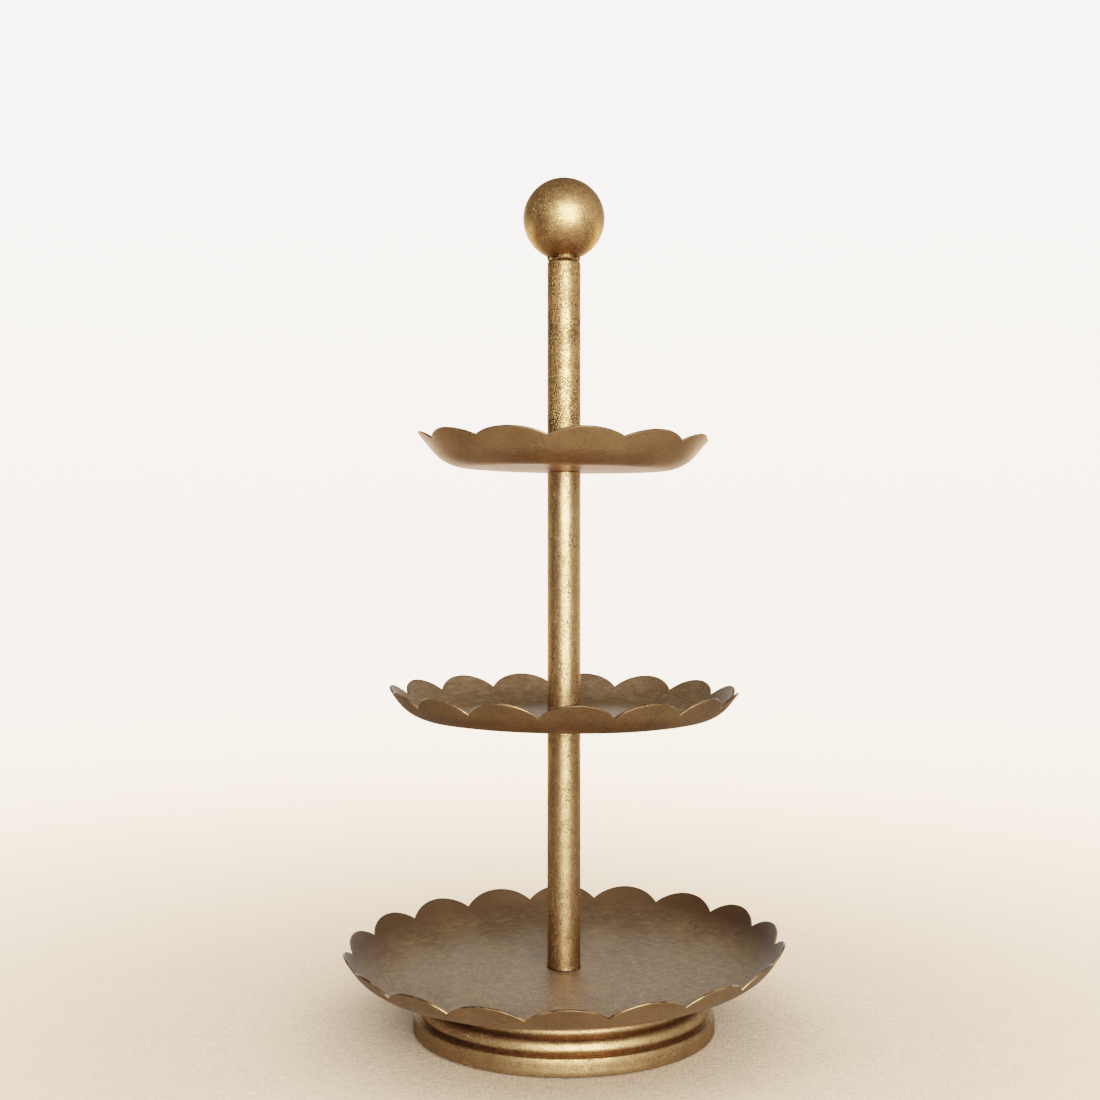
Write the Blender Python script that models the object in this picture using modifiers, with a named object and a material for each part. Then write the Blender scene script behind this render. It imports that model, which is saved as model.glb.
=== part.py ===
"""A three-tier cake stand of painted metal: a moulded foot, three scalloped trays on a tube stem, a ball on top.

Each tray is clamped between two lengths of tube. The handle and the middle length unscrew from studs that
pass through the trays, and a bolt from below holds the foot, the bottom tray and the lowest length together.
Metres, +Z up, with the origin on the stem's axis at the surface that the stand rests on.
"""

import math

import bmesh
import bpy

# Every two pieces that touch on the real stand keep this gap.
GAP = 0.0003

# Stem: one tube size all the way up, with a threaded plug in each end.
TUBE_RADIUS = 0.0095
TUBE_BORE = 0.0075
PLUG_RADIUS = TUBE_BORE - GAP
PLUG_LENGTH = 0.014
PLUG_RECESS = 0.0015
WASHER_THICKNESS = PLUG_RECESS - 2 * GAP
THREAD_RADIUS = 0.0039
CLEARANCE_HOLE = THREAD_RADIUS + GAP
STUD_REACH = 0.0120

# Trays: sheet thickness and the height of each tray's upper face at the stem.
SHEET = 0.0012
BOTTOM_FLOOR = 0.0344
MIDDLE_FLOOR = 0.1796
TOP_FLOOR = 0.3211
HUB_RADIUS = 0.028

# Handle: where the tube ends, and the ball that is welded on it.
TUBE_TOP = 0.4396
TUBE_CHAMFER = 0.0010
CHAMFER_RADIUS = 0.0086
BALL_RADIUS = 0.0234
BALL_CENTRE = 0.4642
BALL_WALL = 0.0015
VENT_RADIUS = 0.003

# Foot: a hollow casting on four pads.
FOOT_BOTTOM = 0.0010
FOOT_TOP = BOTTOM_FLOOR - SHEET - GAP
FOOT_RADIUS = 0.0866
WEB_THICKNESS = 0.004
PAD_RADIUS = 0.0030
PAD_CIRCLE = 0.0825
PAD_COUNT = 4

# Fastening under the foot's web.
BASE_WASHER_RADIUS = 0.015
BASE_WASHER_THICKNESS = 0.002
SPRING_WASHER_RADIUS = 0.0070
SPRING_WASHER_THICKNESS = 0.0016
SPRING_WASHER_SLOT = math.radians(12)
BOLT_HEAD_RADIUS = 0.0075
BOLT_HEAD_HEIGHT = 0.0053
BOLT_REACH = 0.012

# Facets in a full turn, by the size of the piece.
FOOT_STEPS = 48
BALL_STEPS = 24
TUBE_STEPS = 24
SMALL_STEPS = 14

GOLD = (0.34, 0.21, 0.09)
SOFT_GOLD = (0.38, 0.25, 0.11)
TRAY_BROWN = (0.25, 0.17, 0.10)
STEEL = (0.55, 0.55, 0.53)
FELT = (0.08, 0.06, 0.05)

TRAYS = {
    "bottom_tray": {
        "petals": 18,
        "first_notch": math.radians(10.1),
        "floor": BOTTOM_FLOOR,
        "crown": 0.0,
        "flat_radius": 0.1034,
        "bend_radius": 0.0209,
        "wall_slope": math.radians(54),
        "wall_length": 0.0,
        "notch_radius": 0.1203,
        "petal_height": 0.0088,
    },
    "middle_tray": {
        "petals": 15,
        "first_notch": math.radians(15.6),
        "floor": MIDDLE_FLOOR,
        "crown": 0.0,
        "flat_radius": 0.0751,
        "bend_radius": 0.0240,
        "wall_slope": math.radians(52),
        "wall_length": 0.0,
        "notch_radius": 0.0940,
        "petal_height": 0.0093,
    },
    "top_tray": {
        "petals": 12,
        "first_notch": math.radians(-6.8),
        "floor": TOP_FLOOR,
        "crown": 0.0011,
        "flat_radius": 0.0561,
        "bend_radius": 0.0240,
        "wall_slope": math.radians(50),
        "wall_length": 0.0075,
        "notch_radius": 0.0793,
        "petal_height": 0.0057,
    },
}
PETAL_STEPS = 6
WALL_RINGS = 4


def clear_scene():
    for obj in list(bpy.data.objects):
        bpy.data.objects.remove(obj, do_unlink=True)


def make_collection(name):
    collection = bpy.data.collections.new(name)
    bpy.context.scene.collection.children.link(collection)
    return collection


def make_material(name, colour, metallic, roughness):
    material = bpy.data.materials.new(name)
    material.use_nodes = True
    shader = material.node_tree.nodes["Principled BSDF"]
    shader.inputs["Base Color"].default_value = (*colour, 1.0)
    shader.inputs["Metallic"].default_value = metallic
    shader.inputs["Roughness"].default_value = roughness
    return material


def add_piece(name, data, material, collection):
    piece = bpy.data.objects.new(name, data)
    data.materials.append(material)
    collection.objects.link(piece)
    return piece


def mesh_from(bm, name):
    mesh = bpy.data.meshes.new(name)
    bm.to_mesh(mesh)
    bm.free()
    mesh.shade_smooth()
    mesh.set_sharp_from_angle(angle=math.radians(35))
    return mesh


def arc(centre, radius, start, end, steps):
    """Points (r, z) on an arc about centre, from the start angle to the end angle in degrees."""
    points = []
    for step in range(steps + 1):
        angle = math.radians(start + (end - start) * step / steps)
        points.append((centre[0] + radius * math.cos(angle), centre[1] + radius * math.sin(angle)))
    return points


def turned(name, profile, steps, material, collection, ring=True):
    """A profile of (r, z) points, turned about Z. A ring's profile closes on itself; a solid's ends on the axis."""
    bm = bmesh.new()
    corners = [bm.verts.new((r, 0.0, z)) for r, z in profile]
    for first, second in zip(corners, corners[1:]):
        bm.edges.new((first, second))
    if ring:
        bm.edges.new((corners[-1], corners[0]))
    piece = add_piece(name, mesh_from(bm, name), material, collection)
    screw = piece.modifiers.new("Turn", "SCREW")
    screw.axis = "Z"
    screw.steps = steps
    screw.render_steps = steps
    screw.use_merge_vertices = True
    screw.merge_threshold = 0.00001
    screw.use_smooth_shade = True
    return piece


def ring_profile(inner, outer, low, high):
    return [(outer, high), (outer, low), (inner, low), (inner, high)]


def rod_profile(radius, low, high, chamfer):
    return [
        (0.0, high),
        (radius - chamfer, high),
        (radius, high - chamfer),
        (radius, low + chamfer),
        (radius - chamfer, low),
        (0.0, low),
    ]


def wall_point(tray, length):
    """(r, z) on a tray's upper face, at this length up the wall from the edge of its flat floor."""
    bend = tray["bend_radius"]
    slope = tray["wall_slope"]
    turn = min(length / bend, slope)
    past = length - turn * bend
    return (
        tray["flat_radius"] + bend * math.sin(turn) + past * math.cos(slope),
        tray["floor"] + tray["crown"] + bend * (1 - math.cos(turn)) + past * math.sin(slope),
    )


def petal_columns(tray):
    """(azimuth, height above the notches) round the whole rim: each petal is a circular arc between two notches."""
    pitch = 2 * math.pi / tray["petals"]
    half_chord = tray["notch_radius"] * math.sin(pitch / 2)
    height = tray["petal_height"]
    radius = (half_chord**2 + height**2) / (2 * height)
    half_angle = math.asin(half_chord / radius)
    columns = []
    for petal in range(tray["petals"]):
        middle = tray["first_notch"] + (petal + 0.5) * pitch
        for step in range(PETAL_STEPS):
            angle = half_angle * (2 * step / PETAL_STEPS - 1)
            azimuth = middle + pitch / 2 * radius * math.sin(angle) / half_chord
            columns.append((azimuth, radius * (math.cos(angle) - math.cos(half_angle))))
    return columns


def tray_piece(name, material, collection):
    """A tray's upper face as an open surface, thickened downwards by the sheet."""
    tray = TRAYS[name]
    bend_length = tray["bend_radius"] * tray["wall_slope"] + tray["wall_length"]
    bm = bmesh.new()
    rows = []
    for azimuth, above_notch in petal_columns(tray):
        section = [(CLEARANCE_HOLE, tray["floor"])]
        if tray["crown"]:
            section.append((HUB_RADIUS, tray["floor"]))
        for ring in range(WALL_RINGS + 1):
            section.append(wall_point(tray, (bend_length + above_notch) * ring / WALL_RINGS))
        across, along = math.sin(azimuth), -math.cos(azimuth)
        rows.append([bm.verts.new((r * across, r * along, z)) for r, z in section])
    for index, row in enumerate(rows):
        following = rows[(index + 1) % len(rows)]
        for ring in range(len(row) - 1):
            bm.faces.new((row[ring], row[ring + 1], following[ring + 1], following[ring]))
    piece = add_piece(name, mesh_from(bm, name), material, collection)
    shell = piece.modifiers.new("Sheet", "SOLIDIFY")
    shell.thickness = SHEET
    shell.offset = -1.0
    shell.use_even_offset = True
    return piece


def foot_profile():
    """The foot's section: two beads over a plain band, a hollow underneath, and a web with the bolt's hole."""
    web_bottom = FOOT_TOP - WEB_THICKNESS
    outside = [(0.0728, FOOT_TOP), (0.0736, FOOT_TOP - 0.0008), (0.0738, FOOT_TOP - 0.0068)]
    top_bead = arc((0.0757, 0.0216), 0.0036, 98, -32, 5)
    middle_bead = [(0.0785, 0.0195), (0.0806, 0.0189), (0.0822, 0.0174), (0.0831, 0.0154), (0.0832, 0.0128)]
    groove = [(0.0824, 0.0118)]
    shoulder = arc((0.0846, 0.0097), 0.0013, 108, 15, 3)
    band = [(FOOT_RADIUS, FOOT_BOTTOM + 0.0005), (FOOT_RADIUS - 0.0005, FOOT_BOTTOM)]
    hollow = [
        (0.0790, FOOT_BOTTOM),
        (0.0786, 0.0090),
        (0.0770, 0.0130),
        (0.0745, 0.0180),
        (0.0730, 0.0235),
        (0.0705, web_bottom),
    ]
    bore = [(CLEARANCE_HOLE, web_bottom), (CLEARANCE_HOLE, FOOT_TOP)]
    return outside + top_bead + middle_bead + groove + shoulder + band + hollow + bore


def foot_pieces(gold, felt, collection):
    turned("foot", foot_profile(), FOOT_STEPS, gold, collection)
    for index in range(PAD_COUNT):
        angle = 2 * math.pi * index / PAD_COUNT
        bm = bmesh.new()
        height = FOOT_BOTTOM - GAP
        bmesh.ops.create_cone(
            bm, cap_ends=True, segments=SMALL_STEPS, radius1=PAD_RADIUS, radius2=PAD_RADIUS, depth=height
        )
        pad = add_piece(f"foot_pad_{index + 1}", mesh_from(bm, "foot_pad"), felt, collection)
        pad.location = (PAD_CIRCLE * math.cos(angle), PAD_CIRCLE * math.sin(angle), height / 2)


def spring_washer(low, steel, collection):
    """A split ring: a flat outline with a slot in it, extruded to its thickness."""
    outline = bpy.data.curves.new("base_spring_washer", "CURVE")
    outline.dimensions = "2D"
    outline.fill_mode = "BOTH"
    outline.extrude = SPRING_WASHER_THICKNESS / 2
    turn = 2 * math.pi - SPRING_WASHER_SLOT
    angles = [SPRING_WASHER_SLOT / 2 + turn * step / SMALL_STEPS for step in range(SMALL_STEPS + 1)]
    points = [(SPRING_WASHER_RADIUS * math.cos(a), SPRING_WASHER_RADIUS * math.sin(a)) for a in angles]
    points += [(CLEARANCE_HOLE * math.cos(a), CLEARANCE_HOLE * math.sin(a)) for a in reversed(angles)]
    spline = outline.splines.new("POLY")
    spline.points.add(len(points) - 1)
    for point, (x, y) in zip(spline.points, points):
        point.co = (x, y, 0.0, 1.0)
    spline.use_cyclic_u = True
    piece = add_piece("base_spring_washer", outline, steel, collection)
    piece.location = (0.0, 0.0, low + SPRING_WASHER_THICKNESS / 2)


def base_fastening(steel, collection, cutters):
    """From the foot's web down: flat washer, spring washer, then the head of the bolt that goes up the stem."""
    washer_top = FOOT_TOP - WEB_THICKNESS - GAP
    washer_low = washer_top - BASE_WASHER_THICKNESS
    profile = ring_profile(CLEARANCE_HOLE, BASE_WASHER_RADIUS, washer_low, washer_top)
    turned("base_washer", profile, TUBE_STEPS, steel, collection)
    spring_low = washer_low - GAP - SPRING_WASHER_THICKNESS
    spring_washer(spring_low, steel, collection)
    head_top = spring_low - GAP
    shank_top = BOTTOM_FLOOR + GAP + PLUG_RECESS + BOLT_REACH
    shank_low = head_top - BOLT_HEAD_HEIGHT / 2
    shank = rod_profile(THREAD_RADIUS, shank_low, shank_top, 0.0008)
    bolt = turned("base_bolt", shank, SMALL_STEPS, steel, collection, ring=False)
    bm = bmesh.new()
    bmesh.ops.create_cone(
        bm,
        cap_ends=True,
        segments=6,
        radius1=BOLT_HEAD_RADIUS,
        radius2=BOLT_HEAD_RADIUS,
        depth=BOLT_HEAD_HEIGHT,
    )
    head = add_piece("bolt_head", mesh_from(bm, "bolt_head"), steel, cutters)
    head.location = (0.0, 0.0, head_top - BOLT_HEAD_HEIGHT / 2)
    head.hide_render = True
    head.display_type = "WIRE"
    join = bolt.modifiers.new("Head", "BOOLEAN")
    join.operation = "UNION"
    join.solver = "EXACT"
    join.object = head


def tube_pieces(tube, plugs, low, high, gold, steel, collection):
    """A length of stem from low to high, and a plug set back inside each end that is named."""
    turned(tube, ring_profile(TUBE_BORE, TUBE_RADIUS, low, high), TUBE_STEPS, gold, collection)
    for name, plug_low in plugs.items():
        profile = ring_profile(CLEARANCE_HOLE, PLUG_RADIUS, plug_low, plug_low + PLUG_LENGTH)
        turned(name, profile, SMALL_STEPS, steel, collection)


def clamp(stud, washer, floor, steel, collection):
    """A stud that stands out of the tube under a tray, through the tray's hole, and the washer above the tray."""
    stud_low = floor - SHEET - GAP - PLUG_RECESS - PLUG_LENGTH
    profile = rod_profile(THREAD_RADIUS, stud_low, floor + STUD_REACH, 0.0008)
    turned(stud, profile, SMALL_STEPS, steel, collection, ring=False)
    washer_low = floor + GAP
    profile = ring_profile(CLEARANCE_HOLE, PLUG_RADIUS, washer_low, washer_low + WASHER_THICKNESS)
    turned(washer, profile, SMALL_STEPS, steel, collection)


def handle_pieces(gold, steel, collection):
    """The top length of stem, its plug, and the hollow ball that a weld bead joins to it."""
    low = TOP_FLOOR + GAP
    tube = [
        (CHAMFER_RADIUS, TUBE_TOP),
        (TUBE_RADIUS, TUBE_TOP - TUBE_CHAMFER),
        (TUBE_RADIUS, low),
        (TUBE_BORE, low),
        (TUBE_BORE, TUBE_TOP),
    ]
    turned("handle_tube", tube, TUBE_STEPS, gold, collection)
    plug_low = low + PLUG_RECESS
    plug = ring_profile(CLEARANCE_HOLE, PLUG_RADIUS, plug_low, plug_low + PLUG_LENGTH)
    turned("handle_plug", plug, SMALL_STEPS, steel, collection)
    inner = BALL_RADIUS - BALL_WALL
    vent_outside = -math.degrees(math.acos(VENT_RADIUS / BALL_RADIUS))
    vent_inside = -math.degrees(math.acos(VENT_RADIUS / inner))
    centre = (0.0, BALL_CENTRE)
    ball = arc(centre, BALL_RADIUS, 90, vent_outside, 12) + arc(centre, inner, vent_inside, 90, 6)
    turned("ball_finial", ball, BALL_STEPS, gold, collection, ring=False)
    bead_low = TUBE_TOP + GAP
    bead = [
        (CHAMFER_RADIUS, ball_underside(CHAMFER_RADIUS) - GAP),
        (CHAMFER_RADIUS + 0.0004, (bead_low + ball_underside(CHAMFER_RADIUS)) / 2),
        (CHAMFER_RADIUS - 0.0002, bead_low),
        (0.0055, bead_low),
        (0.0055, ball_underside(0.0055) - GAP),
    ]
    turned("weld_bead", bead, TUBE_STEPS, gold, collection)


def ball_underside(radius):
    """Height of the ball's lower surface at this distance from the stem's axis."""
    return BALL_CENTRE - math.sqrt(BALL_RADIUS**2 - radius**2)


def main():
    clear_scene()
    stand = make_collection("cake_stand")
    cutters = make_collection("cutters")
    gold = make_material("antique_gold", GOLD, 0.85, 0.42)
    soft_gold = make_material("soft_gold", SOFT_GOLD, 0.8, 0.5)
    tray_brown = make_material("brushed_bronze", TRAY_BROWN, 0.7, 0.55)
    steel = make_material("plated_steel", STEEL, 0.95, 0.35)
    felt = make_material("felt", FELT, 0.0, 0.95)

    foot_pieces(soft_gold, felt, stand)
    base_fastening(steel, stand, cutters)
    for name in TRAYS:
        tray_piece(name, tray_brown, stand)

    lower_low = BOTTOM_FLOOR + GAP
    lower_high = MIDDLE_FLOOR - SHEET - GAP
    lower_plugs = {
        "lower_tube_bottom_plug": lower_low + PLUG_RECESS,
        "lower_tube_top_plug": lower_high - PLUG_RECESS - PLUG_LENGTH,
    }
    tube_pieces("lower_tube", lower_plugs, lower_low, lower_high, gold, steel, stand)
    clamp("lower_stud", "middle_washer", MIDDLE_FLOOR, steel, stand)

    middle_low = MIDDLE_FLOOR + GAP
    middle_high = TOP_FLOOR - SHEET - GAP
    middle_plugs = {
        "middle_tube_bottom_plug": middle_low + PLUG_RECESS,
        "middle_tube_top_plug": middle_high - PLUG_RECESS - PLUG_LENGTH,
    }
    tube_pieces("middle_tube", middle_plugs, middle_low, middle_high, gold, steel, stand)
    clamp("upper_stud", "upper_washer", TOP_FLOOR, steel, stand)
    handle_pieces(gold, steel, stand)


main()
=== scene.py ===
import math

import bmesh
import bpy
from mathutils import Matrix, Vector, noise


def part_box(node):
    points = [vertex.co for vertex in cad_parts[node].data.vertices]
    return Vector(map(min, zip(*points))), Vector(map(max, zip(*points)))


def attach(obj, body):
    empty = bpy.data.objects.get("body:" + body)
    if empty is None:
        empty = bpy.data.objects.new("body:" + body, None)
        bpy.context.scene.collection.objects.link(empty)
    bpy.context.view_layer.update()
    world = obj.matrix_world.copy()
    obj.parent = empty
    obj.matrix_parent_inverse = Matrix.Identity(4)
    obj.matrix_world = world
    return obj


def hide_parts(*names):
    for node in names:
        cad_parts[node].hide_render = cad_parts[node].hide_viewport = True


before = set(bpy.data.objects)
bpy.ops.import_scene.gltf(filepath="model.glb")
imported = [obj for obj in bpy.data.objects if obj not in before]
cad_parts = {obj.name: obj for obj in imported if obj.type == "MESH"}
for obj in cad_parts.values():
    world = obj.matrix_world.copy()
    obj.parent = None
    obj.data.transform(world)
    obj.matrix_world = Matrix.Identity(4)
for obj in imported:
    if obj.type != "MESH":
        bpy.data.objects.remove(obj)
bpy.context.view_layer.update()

# The looks of a three-tier cake stand: fine meshes around the imported solids, antique gold materials, a
# pale studio and the camera. Metres, +Z up, the origin on the stem's axis at table height.

# ---------------------------------------------------------------- driving dimensions

SHEET = 0.0012
TUBE_BORE = 0.0075
THREAD_PITCH = 0.00125
THREAD_DEPTH = 0.0006
CLEARANCE_HOLE = 0.0042
HUB_RADIUS = 0.028
EDGE_ROUND = 0.0003

BALL_WALL = 0.0015
BALL_VENT_RADIUS = 0.003

# What each tray's shape follows: its scallops, and the section from the flat floor up the bent wall. The
# thin sheet has bent a little in use: lean is how steeply it rises to the right and to the back, dished how
# far its whole rim has come up, and held_to the radius within which something under it stops it from
# sinking. The two tones lighten or darken its paint outside and inside, as painted light and shade, and the
# last entry gives how much painted shade darkens the inside up the wall.
TRAYS = {
    "bottom_tray": {
        "petals": 18,
        "first_notch": math.radians(10.1),
        "crown": 0.0,
        "flat_radius": 0.1034,
        "bend_radius": 0.0209,
        "wall_slope": math.radians(54),
        "wall_length": 0.0,
        "notch_radius": 0.1203,
        "petal_height": 0.0088,
        "lean": (0.0232, 0.0164),
        "dished": 0.0011,
        "held_to": 0.0750,
        "seed": 3.0,
        "outside_painted_light": 0.86,
        "inside_painted_light": 1.22,
        "painted_wall_shade": 1.0,
    },
    "middle_tray": {
        "petals": 15,
        "first_notch": math.radians(15.6),
        "crown": 0.0,
        "flat_radius": 0.0751,
        "bend_radius": 0.0240,
        "wall_slope": math.radians(52),
        "wall_length": 0.0,
        "notch_radius": 0.0940,
        "petal_height": 0.0093,
        "lean": (-0.0075, -0.0105),
        "dished": 0.0,
        "held_to": 0.0120,
        "seed": 11.0,
        "outside_painted_light": 0.86,
        "inside_painted_light": 1.2,
        "painted_wall_shade": 0.36,
    },
    "top_tray": {
        "petals": 12,
        "first_notch": math.radians(-6.8),
        "crown": 0.0011,
        "flat_radius": 0.0561,
        "bend_radius": 0.0240,
        "wall_slope": math.radians(50),
        "wall_length": 0.0075,
        "notch_radius": 0.0793,
        "petal_height": 0.0057,
        "lean": (-0.0175, -0.0040),
        "dished": 0.0,
        "held_to": 0.0120,
        "seed": 23.0,
        "outside_painted_light": 1.36,
        "inside_painted_light": 1.0,
        "painted_wall_shade": 0.5,
    },
}

# ---------------------------------------------------------------- mesh helpers

WELD_DISTANCE = 1e-7


def arc(centre, radius, start, end, steps):
    """Points (r, z) on an arc about centre, from the start angle to the end angle in degrees."""
    points = []
    for step in range(steps + 1):
        angle = math.radians(start + (end - start) * step / steps)
        points.append((centre[0] + radius * math.cos(angle), centre[1] + radius * math.sin(angle)))
    return points


def rounded(corners, radius, steps=3):
    """A closed section with every corner replaced by a small arc."""
    section = []
    count = len(corners)
    for index, corner in enumerate(corners):
        here = Vector(corner)
        before = (Vector(corners[index - 1]) - here).normalized()
        after = (Vector(corners[(index + 1) % count]) - here).normalized()
        half = before.angle(after) / 2
        reach = min(radius, radius / math.tan(half))
        centre = here + (before + after).normalized() * math.hypot(reach, reach * math.tan(half))
        start = here + before * reach - centre
        end = here + after * reach - centre
        turn = start.angle_signed(end)
        for step in range(steps + 1):
            share = turn * step / steps
            cosine, sine = math.cos(share), math.sin(share)
            spoke = Vector((start.x * cosine + start.y * sine, start.y * cosine - start.x * sine))
            section.append(tuple(centre + spoke))
    return section


def divided(start, end, step):
    """Points from start towards end, about a step apart, without the end itself."""
    count = max(1, round(math.dist(start, end) / step))
    return [
        (start[0] + (end[0] - start[0]) * k / count, start[1] + (end[1] - start[1]) * k / count)
        for k in range(count)
    ]


def smooth_through(points, steps):
    """A Catmull-Rom curve through (r, z) points, from the first to the last."""
    ends = [points[0], *points, points[-1]]
    curve = []
    for index in range(len(points) - 1):
        a, b, c, d = (Vector(p) for p in ends[index : index + 4])
        for step in range(steps):
            t = step / steps
            bend = 2 * b + (c - a) * t + (2 * a - 5 * b + 4 * c - d) * t**2 + (3 * b - a - 3 * c + d) * t**3
            curve.append(tuple(bend / 2))
    curve.append(tuple(points[-1]))
    return curve


def eased(points):
    """The same outline with its sharp meetings eased, by averaging each point with its neighbours, twice."""
    outline = list(points)
    for _ in range(2):
        middle = []
        for before, here, after in zip(outline, outline[1:], outline[2:]):
            middle.append(tuple(0.25 * a + 0.5 * b + 0.25 * c for a, b, c in zip(before, here, after)))
        outline = [outline[0], *middle, outline[-1]]
    return outline


def on_circle(r, z, angle):
    """The place (x, y, z) at this radius and height, this far round the stem from the front."""
    return r * math.sin(angle), -r * math.cos(angle), z


def grid_faces(columns, closed=True, joined=True):
    """Quads between neighbouring columns of points. A closed column is a loop, and the last of joined
    columns meets the first."""
    height = len(columns[0])
    faces = []
    for index in range(len(columns) if joined else len(columns) - 1):
        here = index * height
        following = (index + 1) % len(columns) * height
        for row in range(height if closed else height - 1):
            upper = (row + 1) % height
            faces.append((here + row, here + upper, following + upper, following + row))
    return faces


def new_piece(name, columns, faces):
    mesh = bpy.data.meshes.new(name)
    mesh.from_pydata([point for column in columns for point in column], [], faces)
    piece = bpy.data.objects.new(name, mesh)
    bpy.context.scene.collection.objects.link(piece)
    return piece


def smooth_outwards(mesh, sharpest=40):
    """Welds doubled points, turns the faces outwards and shades them smooth up to this many degrees."""
    bm = bmesh.new()
    bm.from_mesh(mesh)
    bmesh.ops.remove_doubles(bm, verts=bm.verts, dist=WELD_DISTANCE)
    bmesh.ops.recalc_face_normals(bm, faces=bm.faces)
    bm.to_mesh(mesh)
    bm.free()
    mesh.shade_smooth()
    mesh.set_sharp_from_angle(angle=math.radians(sharpest))


def grid_piece(name, columns, closed=True):
    """A piece from columns of points that go round the stem. A closed column is a loop, and an open one ends
    on the axis."""
    piece = new_piece(name, columns, grid_faces(columns, closed))
    smooth_outwards(piece.data)
    return piece


def turned(name, section, steps, closed=True, shift=None):
    """A section of (r, z) points turned about the stem. shift(r, z, angle) gives the place of each point."""
    columns = []
    for step in range(steps):
        angle = 2 * math.pi * step / steps
        moved = [shift(r, z, angle) if shift else (r, z) for r, z in section]
        columns.append([on_circle(r, z, angle) for r, z in moved])
    return grid_piece(name, columns, closed)


def lumps(point, size, seed):
    """Smooth noise from about -1 to 1 at a place, with lumps of this size."""
    return noise.noise(Vector(point) / size + Vector((seed, seed * 0.7, seed * 1.3)))


def finish_piece(piece, node, body, materials):
    """Gives the piece its materials, and puts it on its body in place of the CAD's node."""
    for material in materials:
        piece.data.materials.append(material)
    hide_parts(node)
    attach(piece, body)
    return piece


# ---------------------------------------------------------------- material helpers


class Graph:
    """A short way to build nodes: each call adds what it needs and returns the output."""

    def __init__(self, tree):
        self.tree = tree

    def node(self, kind, **settings):
        made = self.tree.nodes.new(kind)
        for key, value in settings.items():
            setattr(made, key, value)
        return made

    def feed(self, socket, value):
        if isinstance(value, bpy.types.NodeSocket):
            self.tree.links.new(value, socket)
        else:
            socket.default_value = value

    def math(self, operation, first, second=0.0):
        made = self.node("ShaderNodeMath", operation=operation)
        self.feed(made.inputs[0], first)
        self.feed(made.inputs[1], second)
        return made.outputs[0]

    def span(self, value, low, high, to_low=0.0, to_high=1.0):
        """Value mapped from low..high to to_low..to_high, smoothly and within them."""
        made = self.node("ShaderNodeMapRange", interpolation_type="SMOOTHSTEP")
        for socket, setting in zip(made.inputs, (value, low, high, to_low, to_high)):
            self.feed(socket, setting)
        return made.outputs["Result"]

    def blend(self, share, first, second):
        """Colour first where share is 0, second where it is 1."""
        made = self.node("ShaderNodeMix", data_type="RGBA")
        self.feed(made.inputs["Factor"], share)
        for socket, colour in zip([s for s in made.inputs if s.type == "RGBA"], (first, second)):
            self.feed(socket, colour if isinstance(colour, bpy.types.NodeSocket) else (*colour, 1.0))
        return next(s for s in made.outputs if s.type == "RGBA")

    def split(self, vector):
        """The X, Y and Z outputs of a vector."""
        made = self.node("ShaderNodeSeparateXYZ")
        self.feed(made.inputs[0], vector)
        return made.outputs

    def vector(self, x, y, z):
        made = self.node("ShaderNodeCombineXYZ")
        for socket, value in zip(made.inputs, (x, y, z)):
            self.feed(socket, value)
        return made.outputs[0]

    def vector_math(self, operation, first, second=None):
        made = self.node("ShaderNodeVectorMath", operation=operation)
        self.feed(made.inputs[0], first)
        if second is not None:
            self.feed(made.inputs[1], second)
        return made.outputs["Value" if operation == "LENGTH" else "Vector"]

    def seen_or_lit(self, seen, lit):
        """One strength for what the camera sees, and another for the light and reflections that it gives."""
        camera_ray = self.node("ShaderNodeLightPath").outputs["Is Camera Ray"]
        return self.math("ADD", self.math("MULTIPLY", camera_ray, self.math("SUBTRACT", seen, lit)), lit)


class MaterialGraph(Graph):
    """The nodes of a new material, with its shader and the place on the object."""

    def __init__(self, name):
        self.material = bpy.data.materials.new(name)
        self.material.use_nodes = True
        super().__init__(self.material.node_tree)
        self.shader = self.tree.nodes["Principled BSDF"]
        self.place = self.node("ShaderNodeTexCoord").outputs["Object"]

    def noise(self, per_metre, detail=4.0, roughness=0.55, distortion=0.0, place=None):
        made = self.node("ShaderNodeTexNoise")
        self.feed(made.inputs["Vector"], place or self.place)
        made.inputs["Scale"].default_value = per_metre
        made.inputs["Detail"].default_value = detail
        made.inputs["Roughness"].default_value = roughness
        made.inputs["Distortion"].default_value = distortion
        return made.outputs["Fac"]

    def attribute(self, name):
        return self.node("ShaderNodeAttribute", attribute_name=name).outputs["Fac"]

    def bump(self, height, strength, distance, under=None):
        made = self.node("ShaderNodeBump")
        made.inputs["Strength"].default_value = strength
        made.inputs["Distance"].default_value = distance
        self.feed(made.inputs["Height"], height)
        if under is not None:
            self.feed(made.inputs["Normal"], under)
        return made.outputs["Normal"]

    def finish(self, **values):
        names = {
            "colour": "Base Color",
            "metallic": "Metallic",
            "roughness": "Roughness",
            "normal": "Normal",
            "coat": "Coat Weight",
            "coat_roughness": "Coat Roughness",
            "sheen": "Sheen Weight",
            "edge_tint": "Specular Tint",
        }
        for key, value in values.items():
            self.feed(self.shader.inputs[names[key]], value)
        return self.material


GOLD_LIGHT = (0.78, 0.455, 0.205)
# A warmer gold that is also lighter, as painted light, for the ball and the handle.
GOLD_WARM_AND_LIT = (0.99, 0.545, 0.222)
GOLD_DEEP = (0.150, 0.078, 0.034)
# Dark brown for painted shade up the trays' walls and round listed heights, and for random dark stains.
SHADE_AND_STAIN_DARK = (0.095, 0.050, 0.022)
EDGE_TINT = (0.85, 0.77, 0.68, 1.0)


def shaded(colour, tone):
    """The colour made lighter or darker by this factor."""
    return tuple(part * tone for part in colour)


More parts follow.
